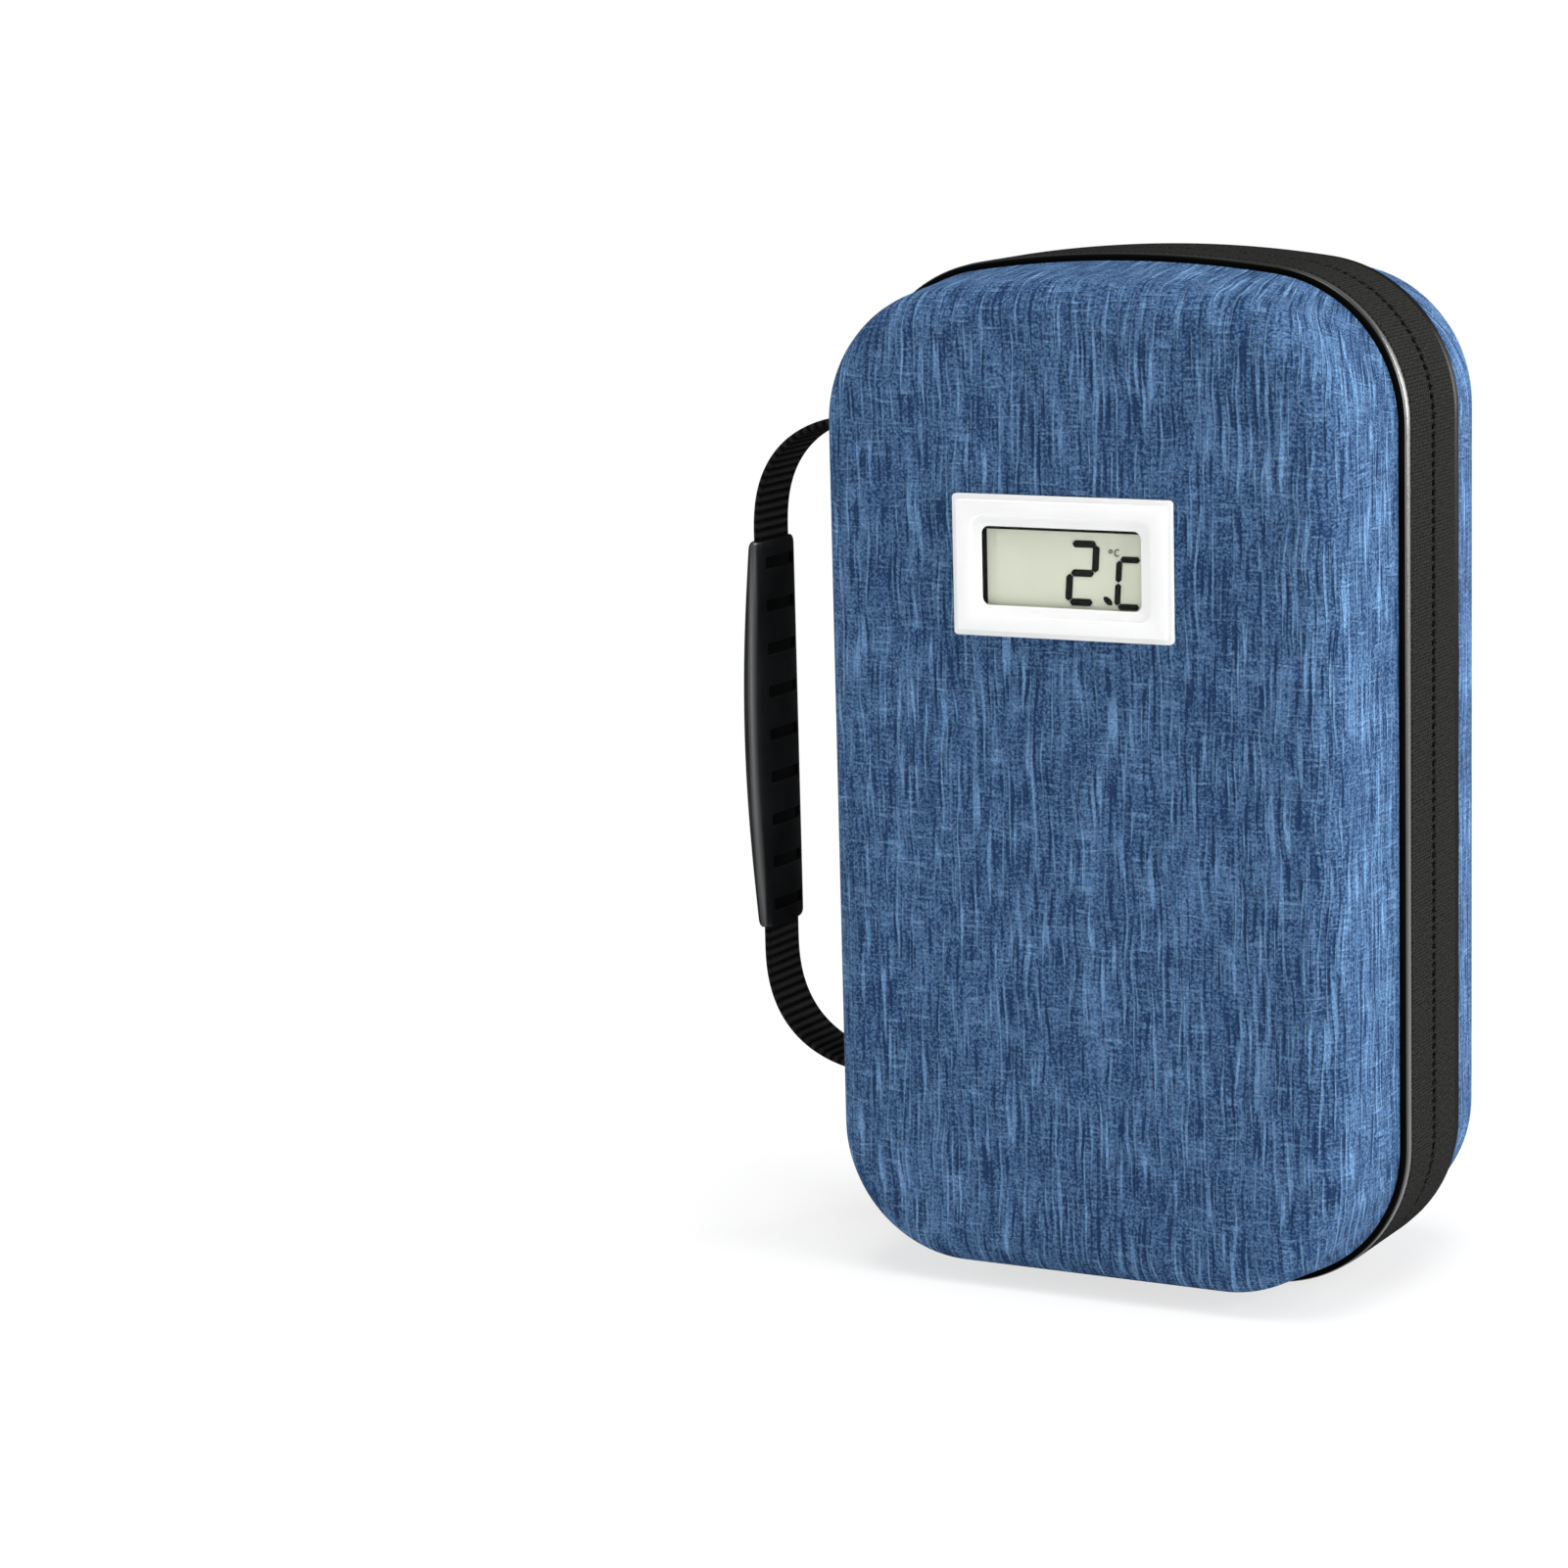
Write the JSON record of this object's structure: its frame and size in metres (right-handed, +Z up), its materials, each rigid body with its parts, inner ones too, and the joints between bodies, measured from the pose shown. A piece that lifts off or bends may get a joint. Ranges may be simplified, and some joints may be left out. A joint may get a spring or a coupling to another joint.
{
  "type": "insulin cooling case",
  "caption": "Upright hard-shell travel case with zip band, two-crease book spine, side carrying handle, panel thermometer, cold packs and pen loops, for keeping insulin cool.",
  "frame": {"origin": "middle of the zip band's flat underside, half way between the front face and the back face", "axes": "+X to the right seen from the front, +Y to the back, +Z up; the front faces -Y and the handle is at -X"},
  "size_m": [0.1579, 0.0814, 0.2122],
  "materials": {
    "blue_cloth": "blue melange woven cloth laminated to moulded foam",
    "black_cloth": "matte black woven tape",
    "black_webbing": "ribbed black webbing",
    "black_plastic": "moulded satin black",
    "zip_metal": "black enamelled die-cast",
    "silver_lining": "crinkled silver foil cloth over foam",
    "black_mesh": "open black net",
    "pack_film": "soft navy film, gel filled",
    "white_plastic": "satin white moulding",
    "clear_plastic": "clear polished window",
    "display": "grey-green liquid-crystal glass",
    "black_rubber": "matte black elastomer",
    "green_board": "green solder mask",
    "steel": "bright nickel-plated steel"
  },
  "bodies": {
    "back": {"back_shell": "blue_cloth", "back_lining": "silver_lining", "back_piping": "black_cloth", "zip_tape_back": "black_cloth", "zip_coil_back": "black_plastic", "gel_pack_base": "pack_film", "divider_panel": "silver_lining", "pen_band_upper": "black_webbing", "pen_band_lower": "black_webbing"},
    "spine": {"spine_panel": "black_cloth", "spine_lining": "black_cloth", "handle_strap": "black_webbing", "handle_grip": "black_plastic"},
    "lid": {"front_shell": "blue_cloth", "front_lining": "silver_lining", "front_piping": "black_cloth", "zip_tape_front": "black_cloth", "zip_coil_front": "black_plastic", "thermometer_housing": "white_plastic", "thermometer_window": "clear_plastic", "display_glass": "display", "zebra_strip": "black_rubber", "circuit_board": "green_board", "thermistor": "black_rubber", "button_cell_1": "steel", "button_cell_2": "steel", "cell_contact_1": "steel", "cell_contact_2": "steel", "thermometer_back_cover": "white_plastic", "mesh_pocket": "black_mesh", "pocket_binding": "black_cloth", "gel_pack_lid": "pack_film"},
    "slider": {"zip_slider": "zip_metal"},
    "pull": {"zip_pull_tab": "zip_metal"},
    "door": {"battery_door": "white_plastic", "cell_link_plate": "steel"}
  },
  "joints": [
    {"name": "spine_hinge", "type": "hinge", "parent": "back", "child": "spine", "pos_m": [-0.05915, 0.014, 0.105], "axis": [0, 0, -1], "range_deg": [0, 85]},
    {"name": "lid_hinge", "type": "hinge", "parent": "spine", "child": "lid", "pos_m": [-0.05915, -0.008, 0.105], "axis": [0, 0, -1], "range_deg": [0, 95]},
    {"name": "slider_travel", "type": "hinge", "parent": "spine", "child": "slider", "pos_m": [-0.029, 0.003, 0.0316], "axis": [0, -1, 0], "range_deg": [0, 22]},
    {"name": "pull_swing", "type": "hinge", "parent": "slider", "child": "pull", "pos_m": [-0.06426, 0.003, 0.02538], "axis": [0, 1, 0], "range_deg": [-20, 125]},
    {"name": "battery_door_slide", "type": "slide", "parent": "lid", "child": "door", "axis": [1, 0, 0], "range_m": [0, 0.01]}
  ]
}
